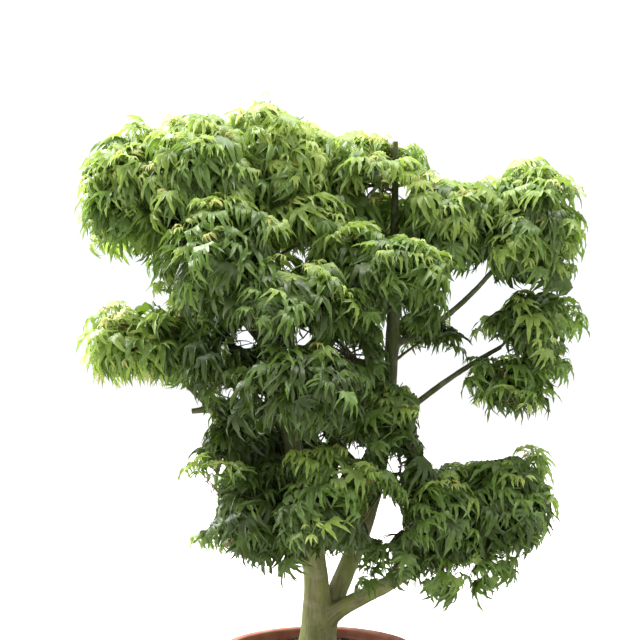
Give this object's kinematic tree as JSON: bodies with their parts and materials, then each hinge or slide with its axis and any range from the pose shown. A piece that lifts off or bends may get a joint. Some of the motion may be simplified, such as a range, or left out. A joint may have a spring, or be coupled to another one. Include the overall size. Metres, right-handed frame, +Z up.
{
  "type": "potted japanese maple",
  "caption": "Small Japanese maple trained as layered pads of drooping, finely cut leaves on a forked trunk, standing in a plain terracotta pot of compost.",
  "frame": {"origin": "middle of the flat underside of the pot", "axes": "+Z up; -Y towards the side that the picture was taken from; +X to the right in that view"},
  "size_m": [1.0348, 0.8777, 1.4607],
  "materials": {
    "leaves": "satin leaves, yellow-green above and deep green below",
    "bark": "smooth olive-grey bark with faint streaks",
    "terracotta": "unglazed matt terracotta",
    "compost": "dark damp compost with bark crumbs"
  },
  "bodies": {
    "root": {"back_bottom": "leaves", "back_bottom_bough": "bark", "back_centre_low": "leaves", "back_centre_low_bough": "bark", "back_centre_mid": "leaves", "back_centre_mid_bough": "bark", "back_crown": "leaves", "back_crown_bough": "bark", "back_left_mid": "leaves", "back_left_mid_bough": "bark", "back_left_top": "leaves", "back_left_top_bough": "bark", "back_right_low": "leaves", "back_right_low_bough": "bark", "back_right_top": "leaves", "back_right_top_bough": "bark", "bottom_centre": "leaves", "bottom_centre_bough": "bark", "bottom_left": "leaves", "bottom_left_bough": "bark", "centre_front": "leaves", "centre_front_bough": "bark", "centre_mid": "leaves", "centre_right_front": "leaves", "centre_right_front_bough": "bark", "centre_stem": "leaves", "compost": "compost", "crown_middle": "leaves", "crown_right": "leaves", "crown_top": "leaves", "crown_top_bough": "bark", "leader": "bark", "left_centre": "leaves", "left_front_lower": "leaves", "left_front_lower_bough": "bark", "left_front_upper": "leaves", "left_front_upper_bough": "bark", "left_low": "leaves", "left_low_bough": "bark", "left_mid": "leaves", "left_mid_bough": "bark", "left_top_inner": "leaves", "left_top_outer": "leaves", "left_top_outer_bough": "bark", "low_right_bough": "bark", "pot": "terracotta", "right_low_inner": "leaves", "right_low_outer": "leaves", "right_mid_inner": "leaves", "right_mid_lower": "leaves", "right_mid_upper": "leaves", "right_mid_upper_bough": "bark", "right_outer": "leaves", "right_outer_bough": "bark", "right_top": "leaves", "right_top_bough": "bark", "trunk": "bark"}
  },
  "joints": []
}
